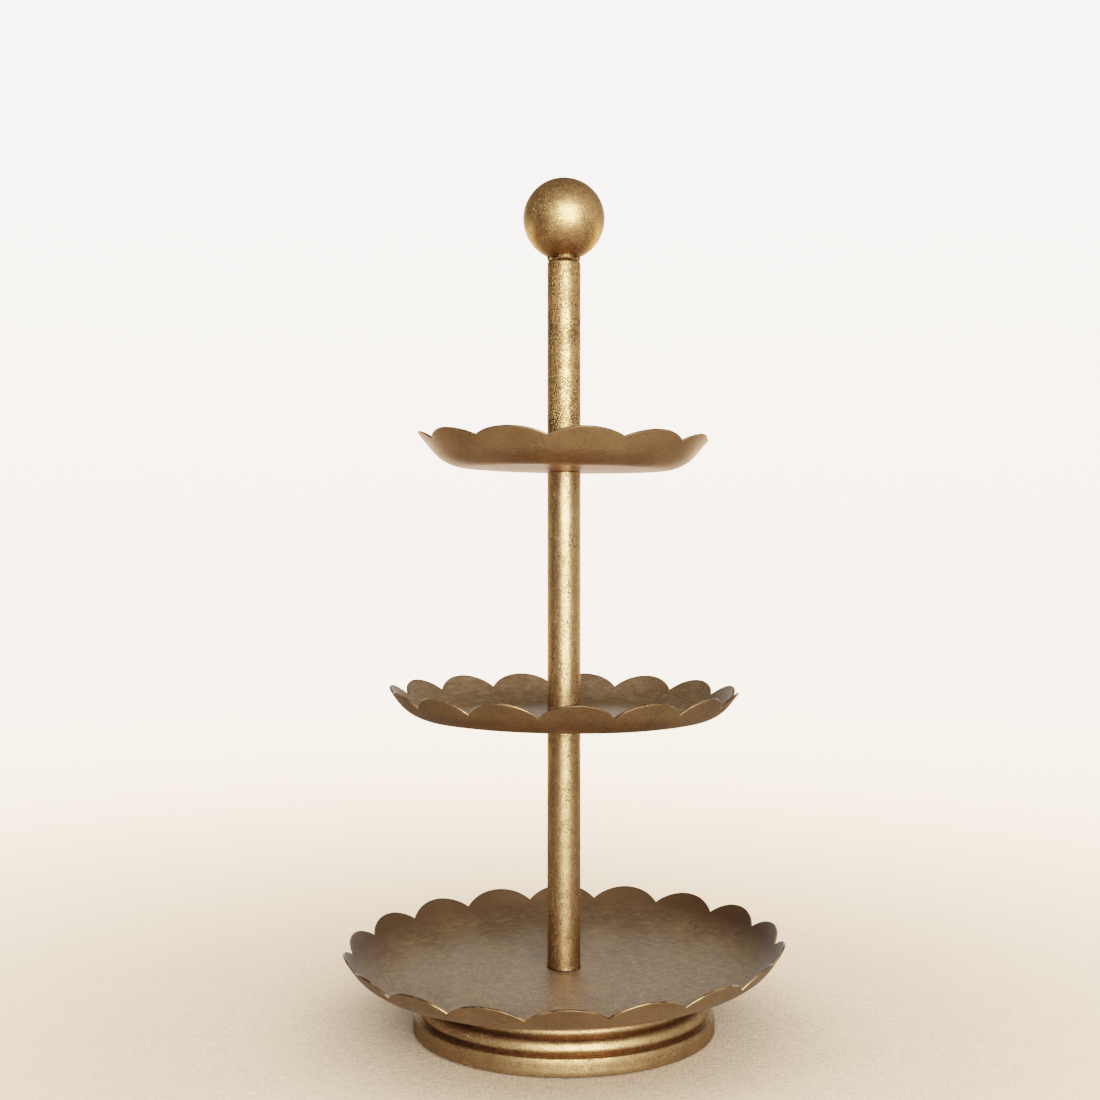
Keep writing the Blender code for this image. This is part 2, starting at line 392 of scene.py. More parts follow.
def antique_gold(name, pitted, grain, roughness, painted_shade=(), top_coat=GOLD_LIGHT):
    """Satin gold paint over dark brown. pitted says how much brown shows in pits, and grain how rough the
    paint feels. The list of heights gives, for each, the reach and the strength of the painted shade that
    darkens the gold round it. top_coat is the lightest gold."""
    g = MaterialGraph(name)
    fine = g.noise(1300.0, 3.0, 0.6)
    clouds = g.noise(60.0, 3.0, 0.5)
    colour = g.blend(g.span(fine, 0.35, 0.65), shaded(top_coat, 0.6), top_coat)
    colour = g.blend(g.span(clouds, 0.35, 0.7, 0.0, 0.25), colour, GOLD_DEEP)
    dots = g.math("ADD", g.noise(1150.0, 3.0, 0.65), g.math("MULTIPLY", g.noise(90.0, 3.0), 0.30))
    pits = g.span(dots, 0.80 - pitted, 0.90 - pitted)
    colour = g.blend(g.math("MULTIPLY", pits, 0.9), colour, GOLD_DEEP)
    height = g.split(g.place)["Z"]
    # Painted shade: the colour darkens towards each listed height.
    for level, reach, strength in painted_shade:
        away = g.math("ABSOLUTE", g.math("SUBTRACT", height, level))
        ragged = g.math("MULTIPLY", g.math("SUBTRACT", g.noise(700.0, 3.0), 0.5), reach * 0.8)
        colour = g.blend(g.span(g.math("ADD", away, ragged), 0.0, reach, strength, 0.0), colour, SHADE_AND_STAIN_DARK)
    rough = g.span(g.noise(400.0, 4.0), 0.3, 0.7, roughness - 0.05, roughness + 0.06)
    sunk = g.bump(g.math("MULTIPLY", pits, -1.0), 1.0, 0.00012)
    skin = g.bump(g.noise(1150.0, 4.0, 0.65), 1.0, grain, sunk)
    return g.finish(colour=colour, metallic=1.0, roughness=rough, normal=skin, edge_tint=EDGE_TINT)


def rim_wear_and_highlight(g, colour):
    """Gold where the cut edge is rubbed, together with a painted highlight along the edge, and dark brown in
    the stretches that the rubbing missed.
    """
    patchy = g.noise(55.0, 3.0, 0.6)
    rim = g.blend(g.span(patchy, 0.42, 0.60), (0.16, 0.090, 0.040), (0.60, 0.355, 0.165))
    return g.blend(g.attribute("edge"), colour, rim)


def tray_outside(name, cloud_shift, tone):
    """The trays' outer side: brown gold in soft cloudy patches, with a fine grain."""
    g = MaterialGraph(name)
    clouds = g.noise(45.0 + cloud_shift, 4.0, 0.5)
    fine = g.noise(1500.0, 3.0, 0.65)
    # Painted light and shade: tone lightens or darkens the whole outside of each tray.
    dark, light = shaded((0.31, 0.172, 0.076), tone), shaded((0.44, 0.247, 0.113), tone)
    colour = g.blend(g.span(clouds, 0.3, 0.7), dark, light)
    colour = g.blend(g.span(fine, 0.40, 0.70, 0.0, 0.40), colour, GOLD_LIGHT)
    colour = g.blend(g.span(g.noise(1100.0, 2.0), 0.62, 0.70, 0.0, 0.7), colour, GOLD_DEEP)
    colour = rim_wear_and_highlight(g, colour)
    return g.finish(
        colour=colour,
        metallic=0.95,
        roughness=g.span(g.noise(500.0, 3.0), 0.3, 0.7, 0.38, 0.48),
        normal=g.bump(g.noise(1300.0, 4.0, 0.6), 1.0, 0.00002),
        coat=0.2,
        coat_roughness=0.35,
    )


def swirls(g, centre, across, along):
    """Brush marks in arcs about a point: across is how many in a metre of radius, and along in a radian."""
    x, y, z = g.split(g.vector_math("SUBTRACT", g.place, (*centre, 0.0)))
    distance = g.vector_math("LENGTH", g.vector(x, y, 0.0))
    bearing = g.math("ARCTAN2", y, x)
    rings, spokes = g.math("MULTIPLY", distance, across), g.math("MULTIPLY", bearing, along)
    return g.noise(1.0, 5.0, 0.7, place=g.vector(rings, spokes, g.math("MULTIPLY", z, across)))


def tray_inside(name, cloud_shift, tone, painted_wall_shade):
    """The trays' inside: taupe brown brushed in short arcs, darkened up the wall by painted shade, with a
    worn rim that also carries a painted highlight.
    """
    g = MaterialGraph(name)
    clouds = g.noise(30.0 + cloud_shift, 5.0, 0.6)
    mottle = g.noise(190.0, 6.0, 0.70)
    round_marks = swirls(g, (0.0, 0.0), 800.0, 7.0)
    crossing = swirls(g, (0.090, -0.070), 700.0, 15.0)
    again = swirls(g, (-0.085, -0.085), 750.0, 16.0)
    # Painted light and shade: tone lightens or darkens the whole inside of each tray.
    rubbed = shaded((0.46, 0.300, 0.170), tone)
    brown, light_brown = shaded((0.195, 0.120, 0.061), tone), shaded((0.265, 0.168, 0.088), tone)
    dark_brown = shaded((0.105, 0.062, 0.030), tone)
    colour = g.blend(g.span(clouds, 0.3, 0.7), brown, light_brown)
    colour = g.blend(g.span(mottle, 0.48, 0.68, 0.0, 0.40), colour, rubbed)
    colour = g.blend(g.span(mottle, 0.30, 0.46, 0.45, 0.0), colour, dark_brown)
    colour = g.blend(g.span(round_marks, 0.54, 0.62, 0.0, 0.36), colour, rubbed)
    colour = g.blend(g.span(crossing, 0.56, 0.63, 0.0, 0.42), colour, rubbed)
    colour = g.blend(g.span(again, 0.56, 0.63, 0.0, 0.42), colour, rubbed)
    colour = g.blend(g.span(crossing, 0.38, 0.44, 0.42, 0.0), colour, dark_brown)
    colour = g.blend(g.span(g.noise(95.0, 2.0), 0.70, 0.76, 0.0, 0.6), colour, SHADE_AND_STAIN_DARK)
    # Painted shade: darker up the wall.
    colour = g.blend(g.math("MULTIPLY", g.attribute("wall"), painted_wall_shade), colour, SHADE_AND_STAIN_DARK)
    colour = rim_wear_and_highlight(g, colour)
    marks = g.math("ADD", round_marks, g.math("ADD", crossing, again))
    skin = g.bump(marks, 0.8, 0.00006, g.bump(g.noise(1200.0, 4.0, 0.6), 0.8, 0.00005))
    return g.finish(
        colour=colour,
        metallic=0.75,
        roughness=g.span(clouds, 0.3, 0.7, 0.52, 0.60),
        normal=skin,
    )


def plated_steel(name):
    g = MaterialGraph(name)
    cloud = g.noise(500.0, 4.0)
    colour = g.blend(g.span(cloud, 0.3, 0.7), (0.50, 0.49, 0.46), (0.66, 0.65, 0.61))
    return g.finish(
        colour=colour,
        metallic=1.0,
        roughness=g.span(cloud, 0.3, 0.7, 0.28, 0.42),
        normal=g.bump(g.noise(4000.0, 2.0), 0.5, 0.00002),
    )


def felt(name):
    g = MaterialGraph(name)
    fibres = g.noise(2800.0, 6.0, 0.75, 1.5)
    colour = g.blend(g.span(fibres, 0.35, 0.65), (0.035, 0.028, 0.024), (0.11, 0.085, 0.07))
    return g.finish(
        colour=colour, metallic=0.0, roughness=0.95, normal=g.bump(fibres, 1.0, 0.0002), sheen=0.5
    )


# ---------------------------------------------------------------- trays

PETAL_STEPS = 24
FLOOR_STEP = 0.004
WALL_RINGS = 26
EDGE_POINTS = 6
# The stem holds the sheet flat within this radius.
STEM_HOLD = 0.012
DENT_DEPTH = 0.00022
DENT_SIZE = 0.035
RIPPLE_DEPTH = 0.00010
RIPPLE_SIZE = 0.009


def wall_point(tray, length):
    """(r, z, slope) on a tray's upper face, this far up the wall from the edge of its flat floor."""
    bend = tray["bend_radius"]
    turn = min(length / bend, tray["wall_slope"])
    past = length - turn * bend
    slope = tray["wall_slope"]
    return (
        tray["flat_radius"] + bend * math.sin(turn) + past * math.cos(slope),
        tray["floor"] + tray["crown"] + bend * (1 - math.cos(turn)) + past * math.sin(slope),
        turn,
    )


def petal_columns(tray):
    """(azimuth, height above the notches) round the rim, where each petal is an arc between two notches."""
    pitch = 2 * math.pi / tray["petals"]
    half_chord = tray["notch_radius"] * math.sin(pitch / 2)
    height = tray["petal_height"]
    radius = (half_chord**2 + height**2) / (2 * height)
    half_angle = math.asin(half_chord / radius)
    columns = []
    for petal in range(tray["petals"]):
        middle = tray["first_notch"] + (petal + 0.5) * pitch
        for step in range(PETAL_STEPS):
            angle = half_angle * (2 * step / PETAL_STEPS - 1)
            azimuth = middle + pitch / 2 * radius * math.sin(angle) / half_chord
            columns.append((azimuth, radius * (math.cos(angle) - math.cos(half_angle))))
    return columns


def upper_face(tray, above_notch):
    """One column of the tray's upper face, from the hole to just short of the rim: points (r, z, slope)."""
    reach = tray["bend_radius"] * tray["wall_slope"] + tray["wall_length"] + above_notch - EDGE_ROUND
    floor_end = (tray["flat_radius"], tray["floor"] + tray["crown"])
    hub = (HUB_RADIUS, tray["floor"])
    floor = divided((CLEARANCE_HOLE, tray["floor"]), hub, FLOOR_STEP) + divided(hub, floor_end, FLOOR_STEP)
    points = [(r, z, 0.0) for r, z in floor]
    for ring in range(WALL_RINGS + 1):
        points.append(wall_point(tray, reach * ring / WALL_RINGS))
    return points


def bent_sheet(tray, place, up):
    """How far use has pushed the sheet up or down here: the lean, shallow dents, and ripples on the wall."""
    x, y, _ = place
    r = math.hypot(x, y)
    lean_x, lean_y = tray["lean"]
    outer = tray["notch_radius"]
    at_rim = tray["dished"] + (x * lean_x + y * lean_y) * outer / r
    start = STEM_HOLD if at_rim > 0 else tray["held_to"]
    bend = at_rim * max(0.0, (r - start) / (outer - start))
    flat = Vector((x, y, 0.0))
    dent = DENT_DEPTH * lumps(flat, DENT_SIZE, tray["seed"]) * min(1.0, max(0.0, (r - 0.02) / 0.05))
    return bend + dent + RIPPLE_DEPTH * lumps(flat, RIPPLE_SIZE, tray["seed"] + 5) * up


def tray_column(tray, azimuth, above_notch):
    """The tray's closed section at one azimuth, with a rounded edge, and how far up the wall it all is."""
    upper = upper_face(tray, above_notch)
    flat, rim = tray["flat_radius"], tray["notch_radius"]
    ups = [min(1.0, max(0.0, (r - flat) / (rim - flat))) for r, _, _ in upper]
    rim_r, rim_z, slope = upper[-1]
    edge = arc((0.0, -EDGE_ROUND), EDGE_ROUND, 60, 0, 2)
    edge += arc((0.0, EDGE_ROUND - SHEET), EDGE_ROUND, 0, -60, 2)
    points = [(r, z) for r, z, _ in upper]
    for ahead, above in edge:
        points.append(
            (
                rim_r + math.cos(slope) * ahead - math.sin(slope) * above,
                rim_z + math.sin(slope) * ahead + math.cos(slope) * above,
            )
        )
    for r, z, slope in reversed(upper):
        points.append((r + math.sin(slope) * SHEET, z - math.cos(slope) * SHEET))
    ups += [1.0] * len(edge) + ups[::-1]
    column = []
    for (r, z), up in zip(points, ups):
        place = on_circle(r, z, azimuth)
        column.append((place[0], place[1], z + bent_sheet(tray, place, up)))
    return column, ups


def edge_shares(height):
    """How much each point of a column belongs to the cut edge, which is in the middle of the column."""
    shares = []
    for row in range(height):
        rows_away = abs(row - (height - 1) / 2) - (EDGE_POINTS - 1) / 2
        shares.append(max(0.0, 1.0 - max(0.0, rows_away)))
    return shares


def add_values(mesh, name, values):
    """Puts one number on each point of the mesh, for its materials to read."""
    mesh.attributes.new(name, "FLOAT", "POINT").data.foreach_set("value", values)


def tray(name, cloud_shift):
    """A tray of pressed sheet: upper face, rounded cut edge and lower face in one closed loop per column."""
    shape = dict(TRAYS[name])
    shape["floor"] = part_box(name)[0].z + SHEET
    columns, walls = [], []
    for azimuth, above_notch in petal_columns(shape):
        column, ups = tray_column(shape, azimuth, above_notch)
        columns.append(column)
        walls.extend(ups)
    height = len(columns[0])
    upper_rows = (height - EDGE_POINTS) // 2 - 1
    piece = new_piece(name + "_sheet", columns, grid_faces(columns))
    inside_last = [1 if row < upper_rows else 0 for row in range(height)]
    piece.data.polygons.foreach_set("material_index", inside_last * len(columns))
    add_values(piece.data, "wall", walls)
    add_values(piece.data, "edge", edge_shares(height) * len(columns))
    smooth_outwards(piece.data, 50)
    outside = tray_outside(name + "_outside", cloud_shift, shape["outside_painted_light"])
    inside = tray_inside(name + "_inside", cloud_shift, shape["inside_painted_light"], shape["painted_wall_shade"])
    finish_piece(piece, name, name, [outside, inside])


# ---------------------------------------------------------------- stem, ball and weld

TUBE_STEPS = 120
TUBE_ROW = 0.0011
LIP = 0.0004
FLARE_HEIGHT = 0.0024
END_BREAK = 0.0002


def hammered(depth, seed):
    """A shift that gives a turned surface the shallow unevenness of brushed-on paint over hammered metal."""

    def shift(r, z, angle):
        place = on_circle(r, z, angle)
        uneven = lumps(place, 0.0042, seed) + 0.6 * lumps(place, 0.0019, seed + 7)
        return r + depth * uneven, z

    return shift


def tube(node, body, seed, material, flare=0.0, top_round=LIP):
    """A length of stem. flare turns its lower lip out a little, and top_round rounds its upper edge."""
    low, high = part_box(node)
    radius = (high.x - low.x) / 2
    flare_start = (radius, low.z + FLARE_HEIGHT)
    section = divided((radius, high.z - top_round), flare_start, TUBE_ROW)
    section += smooth_through(
        [flare_start, (radius + flare * 0.35, low.z + FLARE_HEIGHT / 2), (radius + flare, low.z + LIP)], 3
    )
    section += [(radius + flare - END_BREAK, low.z), (TUBE_BORE + END_BREAK, low.z)]
    section += [(TUBE_BORE, low.z + END_BREAK), (TUBE_BORE, high.z - END_BREAK)]
    section += [(TUBE_BORE + END_BREAK, high.z)]
    section += arc((radius - top_round, high.z - top_round), top_round, 90, 0, 6)[:-1]
    uneven = hammered(0.00005, seed)

    def shift(r, z, angle):
        if r < radius - 0.0001:
            return r, z
        share = 1.0 if z > low.z + 0.002 else 0.4
        moved, _ = uneven(r, z, angle)
        burr = 0.0
        if flare and z < low.z + 0.001:
            burr = 0.00025 * lumps((math.sin(angle), math.cos(angle), 0.3), 0.22, seed)
        return r + (moved - r) * share + burr, z

    piece = turned(node + "_skin", section, TUBE_STEPS, shift=shift)
    finish_piece(piece, node, body, [material])


def ball(material):
    """The finial: a hollow pressed ball, painted thickly enough to be a little uneven."""
    low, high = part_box("ball_finial")
    radius = (high.x - low.x) / 2
    centre = (0.0, high.z - radius)
    inner = radius - BALL_WALL
    outside_end = -math.degrees(math.acos(BALL_VENT_RADIUS / radius))
    inside_end = -math.degrees(math.acos(BALL_VENT_RADIUS / inner))
    section = arc(centre, radius, 90, outside_end, 84) + arc(centre, inner, inside_end, 90, 24)

    def shift(r, z, angle):
        place = Vector(on_circle(r, z - centre[1], angle))
        if place.length < radius - 0.0005:
            return r, z
        uneven = 0.00005 * lumps(place, 0.006, 31.0) + 0.00003 * lumps(place, 0.0022, 37.0)
        grow = 1 + uneven / radius
        return r * grow, centre[1] + (z - centre[1]) * grow

    piece = turned("ball_finial_skin", section, 144, closed=False, shift=shift)
    finish_piece(piece, "ball_finial", "handle", [material])


# Where the weld swells into a blob: the middle of each and half its width, in degrees round from the front.
WELD_BLOBS = ((8, 36), (112, 30), (190, 38), (262, 30))
# The bead's thin size, and what the middle of a blob adds to it.
WELD_OUT = (0.0069, 0.0010)
WELD_UP = (0.0008, 0.0012)
WELD_HALF_WIDTH = (0.0008, 0.0010)
WELD_HALF_HEIGHT = (0.0008, 0.0013)
WELD_STEPS = 180
WELD_POINTS = 20


def weld_swell(angle):
    """How much the weld has swollen at this angle: 0 between the blobs and 1 in the middle of one."""
    swell = 0.0
    for middle, half in WELD_BLOBS:
        away = abs((math.degrees(angle) - middle + 180) % 360 - 180)
        swell = max(swell, 1 - (away / half) ** 2)
    return math.sqrt(swell)


def weld(material):
    """The bead between the tube and the ball: a thin ring with a few blobs that climb on to the ball."""
    low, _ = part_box("weld_bead")
    columns = []
    for step in range(WELD_STEPS):
        angle = 2 * math.pi * step / WELD_STEPS
        swell = weld_swell(angle)
        out, rise, wide, tall = (
            thin + added * swell for thin, added in (WELD_OUT, WELD_UP, WELD_HALF_WIDTH, WELD_HALF_HEIGHT)
        )
        column = []
        for point in range(WELD_POINTS):
            around = 2 * math.pi * point / WELD_POINTS
            r = out + wide * math.cos(around)
            z = low.z + rise + tall * math.sin(around)
            place = on_circle(r, z, angle)
            rough = 0.00018 * lumps(place, 0.0016, 43.0) + 0.00008 * lumps(place, 0.0007, 47.0)
            column.append((place[0] * (1 + rough / r), place[1] * (1 + rough / r), max(low.z, z + rough)))
        columns.append(column)
    piece = grid_piece("weld_blobs", columns)
    finish_piece(piece, "weld_bead", "handle", [material])


# ---------------------------------------------------------------- foot

FOOT_STEPS = 288


def foot_section(low, high):
    """The casting's section: top bead, long rounded middle bead, groove, plain band and hollow."""
    radius = high.x
    bottom, top = low.z, high.z
    outside = [(0.0728, top), (0.0733, top - 0.0002), (0.0736, top - 0.0008), (0.0738, top - 0.0068)]
    beads = arc((0.0757, 0.0216), 0.0036, 98, -32, 22)
    beads += smooth_through(
        [
            (0.0785, 0.0195),
            (0.0806, 0.0189),
            (0.0822, 0.0174),
            (0.0831, 0.0154),
            (0.0834, 0.0140),
            (0.0832, 0.0128),
            (0.0824, 0.0118),
        ],
        5,
    )
    beads += arc((0.0850, 0.0097), 0.0013, 108, 6, 8)
    band = [(radius - 0.0002, 0.0070), (radius - 0.0001, 0.0040), (radius, bottom + 0.0006)]
    band += [(radius - 0.0002, bottom + 0.0002), (radius - 0.0006, bottom)]
    web = top - 0.004
    hollow = [(0.0790, bottom), (0.0786, 0.0090), (0.0770, 0.0130), (0.0745, 0.0180), (0.0730, 0.0235)]
    hollow += [(0.0722, web - 0.002), (0.0700, web), (0.0300, web)]
    bore = [(CLEARANCE_HOLE, web), (CLEARANCE_HOLE, top), (0.0300, top)]
    return outside + eased(beads) + band + hollow + bore


def foot(material):
    low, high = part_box("foot")

    def shift(r, z, angle):
        if r <= 0.074 or z >= high.z - 0.002:
            return r, z
        place = on_circle(r, z, angle)
        return r + 0.00010 * lumps(place, 0.008, 51.0) + 0.00005 * lumps(place, 0.003, 53.0), z

    piece = turned("foot_casting", foot_section(low, high), FOOT_STEPS, shift=shift)
    finish_piece(piece, "foot", "base", [material])


def pads(material):
    for index in range(4):
        node = f"foot_pad_{index + 1}"
        low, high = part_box(node)
        centre = (low + high) / 2
        radius = (high.x - low.x) / 2
        section = rounded([(0.0001, high.z), (radius, high.z), (radius, low.z), (0.0001, low.z)], 0.00008)
        piece = turned(node + "_felt", section, 48)
        piece.location = (centre.x, centre.y, 0.0)
        finish_piece(piece, node, "base", [material])


# ---------------------------------------------------------------- hidden fastenings

BOLT_RADIUS = 0.0039
BOLT_HEAD_HEIGHT = 0.0053
BOLT_HEAD_STEPS = 96
SPRING_WASHER_STEPS = 72
SPRING_WASHER_SPLIT = math.radians(12)
RING_BODIES = {
    "lower_tube_bottom_plug": "base",
    "lower_tube_top_plug": "base",
    "middle_tube_bottom_plug": "middle_stem",
    "middle_tube_top_plug": "middle_stem",
    "handle_plug": "handle",
    "middle_washer": "middle_washer",
    "upper_washer": "upper_washer",
    "base_washer": "base",
}


def ring(node, body, material):
    """A washer or a plug: a ring with its edges broken."""
    low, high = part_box(node)
    outer = (high.x - low.x) / 2
    corners = [(outer, high.z), (outer, low.z), (CLEARANCE_HOLE, low.z), (CLEARANCE_HOLE, high.z)]
    piece = turned(node + "_ring", rounded(corners, 0.0002), 64)
    finish_piece(piece, node, body, [material])


def thread_shift(low, high, radius):
    """Cuts a helical thread into a rod between two heights, fading out at each end."""

    def shift(r, z, angle):
        if r < radius - 0.0001:
            return r, z
        phase = (z / THREAD_PITCH - angle / (2 * math.pi)) % 1.0
        depth = THREAD_DEPTH * abs(2 * phase - 1)
        fade = min(1.0, max(0.0, (high - z) / THREAD_PITCH), max(0.0, (z - low) / THREAD_PITCH))
        return r - depth * fade, z

    return shift


def threaded_rod(name, radius, low, high):
    """A rod with a chamfer at each end and a thread between them."""
    chamfer = 0.0007
    section = [(0.0, high), (radius - chamfer, high)]
    section += divided((radius, high - chamfer), (radius, low + chamfer), THREAD_PITCH / 8)
    section += [(radius, low + chamfer), (radius - chamfer, low), (0.0, low)]
    return turned(name, section, 48, closed=False, shift=thread_shift(low, high, radius))


def stud(node, body, material):
    low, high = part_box(node)
    radius = (high.x - low.x) / 2
    piece = threaded_rod(node + "_thread", radius, low.z, high.z)
    finish_piece(piece, node, body, [material])


def bolt(material):
    """The bolt under the foot: a threaded shank and a chamfered hexagon head, as two meshes."""
    low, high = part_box("base_bolt")
    head_top = low.z + BOLT_HEAD_HEIGHT
    piece = threaded_rod("base_bolt_thread", BOLT_RADIUS, head_top - 0.001, high.z)
    finish_piece(piece, "base_bolt", "base", [material])
    corner = (high.y - low.y) / 2
    crown = corner * 0.9
    columns = []
    for step in range(BOLT_HEAD_STEPS):
        angle = 2 * math.pi * step / BOLT_HEAD_STEPS
        from_flat = (angle + math.pi / 6) % (math.pi / 3) - math.pi / 6
        hexagon = corner * math.cos(math.pi / 6) / math.cos(from_flat)
        outline = [
            (0.0001, head_top),
            (hexagon - 0.0002, head_top),
            (hexagon, head_top - 0.0003),
            (hexagon, low.z + 0.0008 + 0.6 * max(0.0, hexagon - crown)),
            (min(hexagon, crown), low.z),
            (0.0001, low.z),
        ]
        columns.append([on_circle(r, z, angle) for r, z in outline])
    head = grid_piece("base_bolt_head", columns)
    head.data.materials.append(material)
    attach(head, "base")


def spring_washer(material):
    """A split ring of square wire, its two ends sprung slightly apart."""
    low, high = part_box("base_spring_washer")
    outer = (high.x - low.x) / 2
    thick = (high.z - low.z) * 0.86
    rise = (high.z - low.z) - thick
    columns = []
    for step in range(SPRING_WASHER_STEPS + 1):
        share = step / SPRING_WASHER_STEPS
        angle = SPRING_WASHER_SPLIT / 2 + (2 * math.pi - SPRING_WASHER_SPLIT) * share + math.pi / 2
        bottom = low.z + rise * share
        top = bottom + thick
        corners = [(outer, top), (outer, bottom), (CLEARANCE_HOLE, bottom), (CLEARANCE_HOLE, top)]
        columns.append([on_circle(r, z, angle) for r, z in rounded(corners, 0.00015)])
    height = len(columns[0])
    last = SPRING_WASHER_STEPS * height
    ends = [tuple(range(height)), tuple(reversed(range(last, last + height)))]
    piece = new_piece("base_spring_washer_ring", columns, grid_faces(columns, joined=False) + ends)
    smooth_outwards(piece.data)
    finish_piece(piece, "base_spring_washer", "base", [material])


# ---------------------------------------------------------------- studio and camera

# Seen is what the camera sees, and lit is what lights the stand and shows in its reflections.
FLOOR_RADIUS = 6.0
FLOOR_GAP = 0.0001
NEAR_GLOW = (1.0, 0.71, 0.48)
HORIZON = (1.0, 0.80, 0.66)
OVERHEAD = (1.0, 0.94, 0.84)
BACKDROP_SEEN = 5.2
BACKDROP_LIT = 3.2
ROOM_LIT = 0.13
SIDE_LIT = 0.40
WARM_BOUNCE = (1.0, 0.96, 0.90)
CLOTH_SEEN = 1.3
CLOTH_SHADED = 0.05
CLOTH_LIT = 0.05
CLOTH_BOUNCE = (0.30, 0.255, 0.205)


def threads(g, across, along):
    """Cloth threads: noise drawn out along one way of the floor."""
    return g.noise(1.0, 4.0, 0.65, place=g.vector_math("MULTIPLY", g.place, (across, along, 1.0)))


def cloth_shader(g, distance):
    """Cream cloth, lifted for the camera where the room's light reaches it, and shaded under the stand."""
    weave = g.math("ADD", threads(g, 160.0, 620.0), threads(g, 620.0, 160.0))
    fold_light = g.noise(22.0, 4.0, 0.6)
    camera_ray = g.node("ShaderNodeLightPath").outputs["Is Camera Ray"]
    cloth = g.blend(g.span(weave, 0.80, 1.20), (0.44, 0.305, 0.192), (0.68, 0.475, 0.305))
    # Painted light: lighter patches for folds in the flat cloth.
    cloth = g.blend(g.span(fold_light, 0.35, 0.7, 0.0, 0.3), cloth, (0.66, 0.48, 0.32))
    cloth = g.blend(camera_ray, CLOTH_BOUNCE, cloth)
    g.finish(colour=cloth, roughness=0.95, normal=g.bump(weave, 1.0, 0.0010))
    lift = g.node("ShaderNodeEmission")
    g.feed(lift.inputs["Color"], cloth)
    open_to_room = g.span(distance, 0.085, 0.19, CLOTH_SHADED, CLOTH_SEEN)
    g.feed(lift.inputs["Strength"], g.seen_or_lit(open_to_room, CLOTH_LIT))
    both = g.node("ShaderNodeAddShader")
    g.feed(both.inputs[0], g.shader.outputs[0])
    g.feed(both.inputs[1], lift.outputs[0])
    return both.outputs[0]


def backdrop_shader(g, distance, far):
    """The glow of the plain backdrop, warmer near the stand and a little brighter to its right."""
    glow = g.node("ShaderNodeEmission")
    g.feed(glow.inputs["Color"], g.blend(g.span(distance, 0.2, 3.0), NEAR_GLOW, HORIZON))
    x, y, _ = g.split(g.place)
    lit = g.span(y, 0.4, 1.6, ROOM_LIT, BACKDROP_LIT)
    sideways = g.math("MULTIPLY", g.span(x, -0.6, 0.6, -0.3, 1.0), g.math("SUBTRACT", 1.0, far))
    seen = g.math("ADD", g.math("MULTIPLY", sideways, BACKDROP_SEEN * 0.16), BACKDROP_SEEN)
    g.feed(glow.inputs["Strength"], g.seen_or_lit(seen, lit))
    return glow.outputs[0]


def floor_material():
    """Cloth that turns into the plain backdrop further out."""
    g = MaterialGraph("studio_floor")
    distance = g.vector_math("LENGTH", g.place)
    far = g.span(distance, 0.08, 1.3)
    mix = g.node("ShaderNodeMixShader")
    g.feed(mix.inputs[0], g.math("POWER", far, 0.6))
    g.feed(mix.inputs[1], cloth_shader(g, distance))
    g.feed(mix.inputs[2], backdrop_shader(g, distance, far))
    g.feed(g.tree.nodes["Material Output"].inputs["Surface"], mix.outputs[0])
    return g.material


def floor():
    bpy.ops.mesh.primitive_circle_add(
        vertices=128, radius=FLOOR_RADIUS, fill_type="NGON", location=(0.0, 0.0, -FLOOR_GAP)
    )
    ground = bpy.context.object
    ground.name = "studio_floor"
    ground.data.materials.append(floor_material())


def room():
    """A dim room with a bright backdrop low down straight behind, and a little more light from the right."""
    world = bpy.data.worlds.new("studio")
    bpy.context.scene.world = world
    world.use_nodes = True
    g = Graph(world.node_tree)
    x, y, z = g.split(g.node("ShaderNodeTexCoord").outputs["Generated"])
    behind = g.math("MULTIPLY", g.span(y, 0.70, 0.99), g.span(z, 0.10, 0.50, 1.0, 0.0))
    lit = g.math("ADD", g.math("MULTIPLY", behind, BACKDROP_LIT - ROOM_LIT), ROOM_LIT)
    right = g.math("MULTIPLY", g.span(x, 0.30, 0.95), g.span(z, 0.6, 0.9, 1.0, 0.0))
    lit = g.math("ADD", g.math("MULTIPLY", right, SIDE_LIT), lit)
    camera_ray = g.node("ShaderNodeLightPath").outputs["Is Camera Ray"]
    wall = g.blend(g.span(z, -0.02, 0.30), HORIZON, OVERHEAD)
    background = g.tree.nodes["Background"]
    g.feed(background.inputs["Color"], g.blend(camera_ray, WARM_BOUNCE, wall))
    g.feed(background.inputs["Strength"], g.seen_or_lit(BACKDROP_SEEN, lit))


def window():
    """A large soft lamp in front, a little to the right, that faces the middle of the stand."""
    data = bpy.data.lights.new("window", "AREA")
    data.shape = "RECTANGLE"
    data.size = 1.2
    data.size_y = 1.0
    data.energy = 72.0
    data.color = (1.0, 0.985, 0.96)
    lamp = bpy.data.objects.new("window", data)
    lamp.location = (0.30, -1.50, 0.55)
    lamp.rotation_mode = "QUATERNION"
    lamp.rotation_quaternion = (Vector((0.0, 0.0, 0.25)) - lamp.location).to_track_quat("-Z", "Y")
    bpy.context.scene.collection.objects.link(lamp)


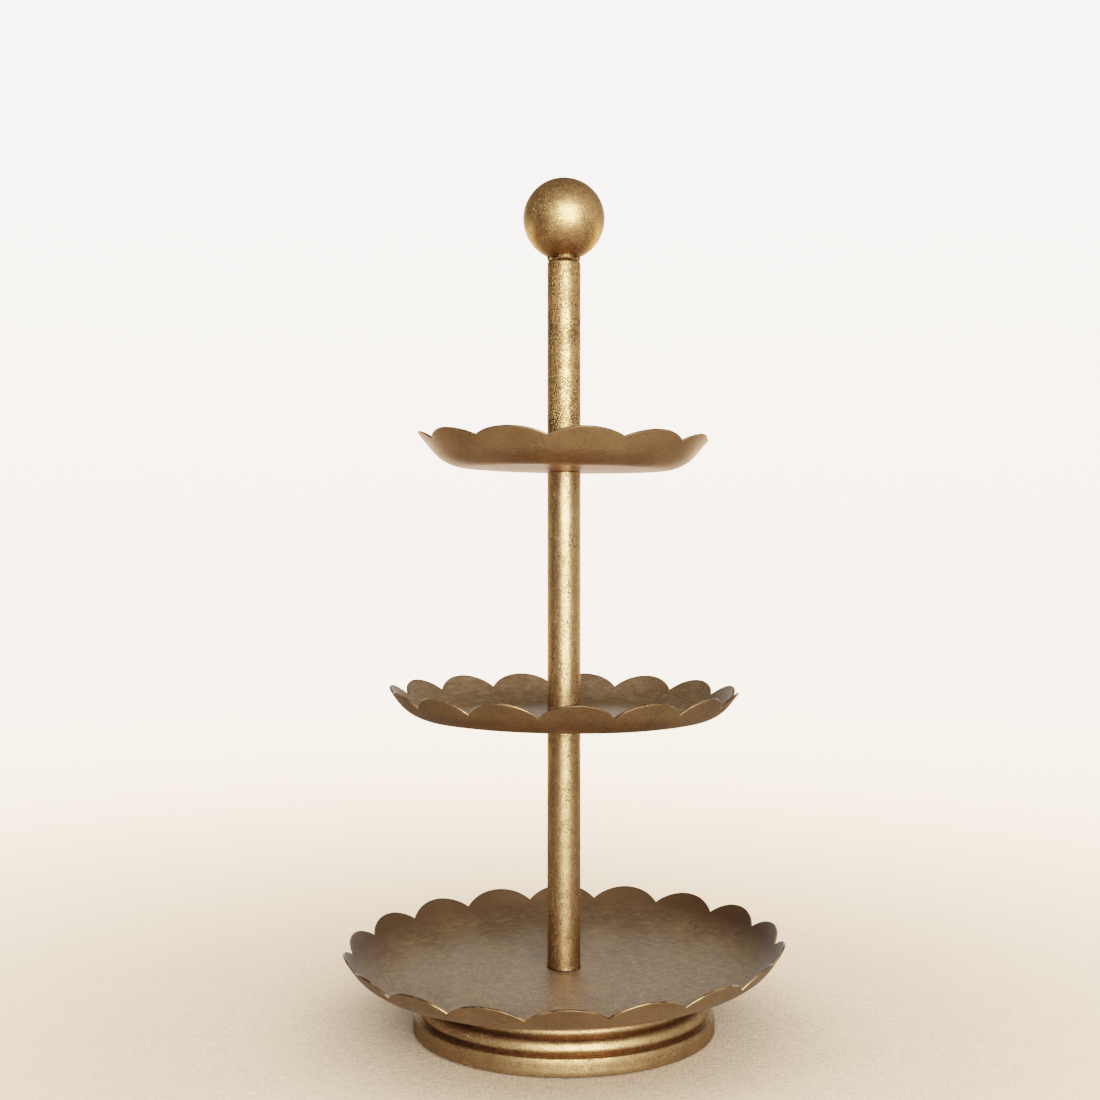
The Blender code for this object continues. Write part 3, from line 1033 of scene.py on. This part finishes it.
def camera():
    """A 50 mm view from just above the middle of the stand."""
    data = bpy.data.cameras.new("camera")
    data.sensor_width = 36.0
    data.lens = 50.74
    eye = bpy.data.objects.new("camera", data)
    eye.location = (-0.0080, -0.8900, 0.2863)
    eye.rotation_euler = (math.radians(90 - 0.739), 0.0, 0.0)
    bpy.context.scene.collection.objects.link(eye)
    bpy.context.scene.camera = eye


# ---------------------------------------------------------------- everything


def gold_pieces():
    """The stem, the ball, the weld and the foot, each in its own mix of the gold paint."""
    lower_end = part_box("lower_tube")[0].z
    middle_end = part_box("middle_tube")[0].z
    ball_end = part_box("ball_finial")[0].z
    weld_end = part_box("weld_bead")[0].z
    # Painted shade, darkening the gold towards each height: at the lower tube's bottom lip and up its lower
    # part, near the middle tube's bottom and on the ball's underside.
    lower_tube_shade = ((lower_end, 0.0022, 0.90), (lower_end, 0.055, 0.60))
    # Painted shade on the foot: under the tray at its top, in its two grooves and towards the bottom of its
    # band.
    foot_shade = ((0.0290, 0.0018, 0.4), (0.0194, 0.0034, 0.74), (0.0118, 0.0028, 0.8), (0.0040, 0.0110, 0.4))
    lower_gold = antique_gold("low_gold", 0.10, 0.00006, 0.36, lower_tube_shade)
    middle_gold = antique_gold("stem_gold", 0.11, 0.00006, 0.35, ((middle_end, 0.030, 0.35),))
    handle_gold = antique_gold("handle_gold", 0.19, 0.00010, 0.35, top_coat=GOLD_WARM_AND_LIT)
    ball_gold = antique_gold("ball_gold", 0.07, 0.00004, 0.40, ((ball_end, 0.008, 0.75),), GOLD_WARM_AND_LIT)
    tube("lower_tube", "base", 61.0, lower_gold, flare=0.0004)
    tube("middle_tube", "middle_stem", 67.0, middle_gold)
    tube("handle_tube", "handle", 71.0, handle_gold, top_round=0.0009)
    ball(ball_gold)
    # Painted shade where the weld meets the tube.
    weld(antique_gold("weld_gold", 0.20, 0.00008, 0.50, ((weld_end, 0.0010, 0.80),)))
    foot(antique_gold("foot_gold", 0.08, 0.00012, 0.42, foot_shade))


def hidden_pieces():
    """The steel fastenings inside the stem and under the foot."""
    steel = plated_steel("plated_steel_finish")
    for node, body in RING_BODIES.items():
        ring(node, body, steel)
    stud("lower_stud", "base", steel)
    stud("upper_stud", "middle_stem", steel)
    bolt(steel)
    spring_washer(steel)


def main():
    for index, name in enumerate(TRAYS):
        tray(name, index)
    gold_pieces()
    pads(felt("pad_felt"))
    hidden_pieces()
    floor()
    room()
    window()
    bpy.context.scene.view_settings.view_transform = "Filmic"
    camera()


main()
